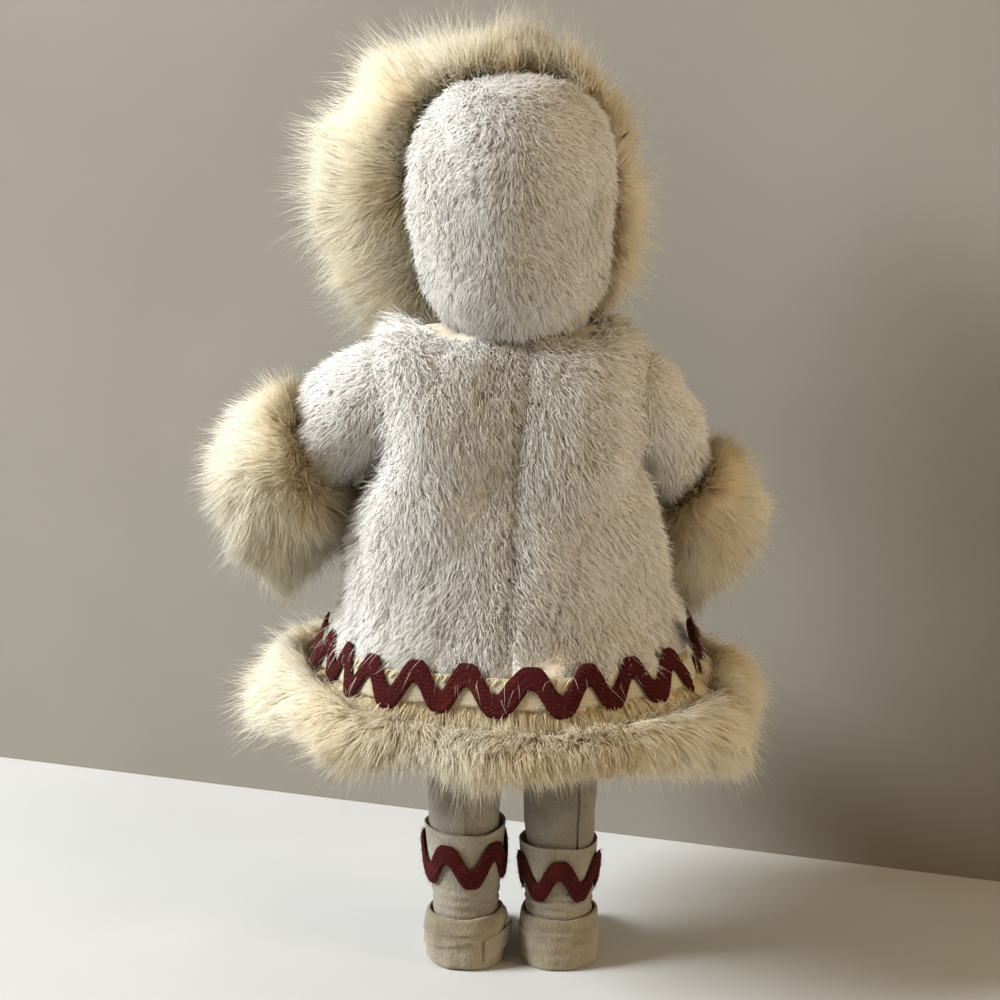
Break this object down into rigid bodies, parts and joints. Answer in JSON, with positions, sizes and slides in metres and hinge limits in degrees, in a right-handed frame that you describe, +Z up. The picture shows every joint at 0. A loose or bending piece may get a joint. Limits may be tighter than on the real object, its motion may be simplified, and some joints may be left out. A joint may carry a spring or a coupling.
{
  "type": "inuit doll",
  "caption": "Strung plastic doll in a white fur parka with a fur-ruffed hood, fur cuffs and hem, zigzag braid and suede boots, standing.",
  "frame": {"origin": "on the surface that the doll stands on, under the middle of its overall box", "axes": "+Z up from the soles to the hood, the doll faces -Y, its left side is +X"},
  "size_m": [0.1274, 0.1036, 0.2262],
  "materials": {
    "skin_plastic": "satin hard plastic",
    "wig_hair": "straight glossy fibre",
    "eye_plastic": "gloss, brown iris",
    "wire": "plain wire",
    "lead": "dull grey",
    "elastic": "matt",
    "white_fur": "short dense pile on hide",
    "cream_fur": "long soft fur with guard hairs",
    "braid": "woven, matt",
    "tape": "woven tape",
    "suede": "napped suede"
  },
  "bodies": {
    "torso": {"torso_front": "skin_plastic", "torso_back": "skin_plastic", "arm_elastic": "elastic", "leg_elastic": "elastic", "parka_front": "white_fur", "parka_back_left": "white_fur", "parka_back_right": "white_fur", "hood": "white_fur", "hood_ruff": "cream_fur", "hem_trim": "cream_fur", "hem_tape": "tape", "hem_braid": "braid"},
    "head": {"head_front": "skin_plastic", "head_back": "skin_plastic", "neck_plug": "skin_plastic", "wig": "wig_hair"},
    "eyes": {"eye_left": "eye_plastic", "eye_right": "eye_plastic", "eye_bar": "wire", "eye_weight": "lead"},
    "arm_left": {"arm_left": "skin_plastic", "arm_stud_left": "wire", "sleeve_left": "white_fur", "cuff_left": "cream_fur"},
    "leg_left": {"leg_left": "skin_plastic", "leg_stud_left": "wire", "legging_left": "suede", "boot_shaft_left": "suede", "boot_braid_left": "braid", "foot_wrap_left": "suede"},
    "arm_right": {"arm_right": "skin_plastic", "arm_stud_right": "wire", "sleeve_right": "white_fur", "cuff_right": "cream_fur"},
    "leg_right": {"leg_right": "skin_plastic", "leg_stud_right": "wire", "legging_right": "suede", "boot_shaft_right": "suede", "boot_braid_right": "braid", "foot_wrap_right": "suede"}
  },
  "joints": [
    {"name": "neck_turn", "type": "hinge", "parent": "torso", "child": "head", "pos_m": [-0.0049, -0.00052, 0.156], "axis": [0, 0, 1], "range_deg": [-35, 35]},
    {"name": "eyes_sleep", "type": "hinge", "parent": "head", "child": "eyes", "pos_m": [-0.0049, -0.01382, 0.1885], "axis": [1, 0, 0], "range_deg": [0, 65]},
    {"name": "shoulder_left", "type": "hinge", "parent": "torso", "child": "arm_left", "pos_m": [0.0121, -0.00052, 0.145], "axis": [-1, 0, 0], "range_deg": [-40, 90]},
    {"name": "shoulder_right", "type": "hinge", "parent": "torso", "child": "arm_right", "pos_m": [-0.0219, -0.00052, 0.145], "axis": [-1, 0, 0], "range_deg": [0, 60]},
    {"name": "hip_left", "type": "hinge", "parent": "torso", "child": "leg_left", "pos_m": [0.0031, -0.00052, 0.095], "axis": [-1, 0, 0], "range_deg": [-25, 30]},
    {"name": "hip_right", "type": "hinge", "parent": "torso", "child": "leg_right", "pos_m": [-0.0129, -0.00052, 0.095], "axis": [-1, 0, 0], "range_deg": [-25, 30]}
  ]
}
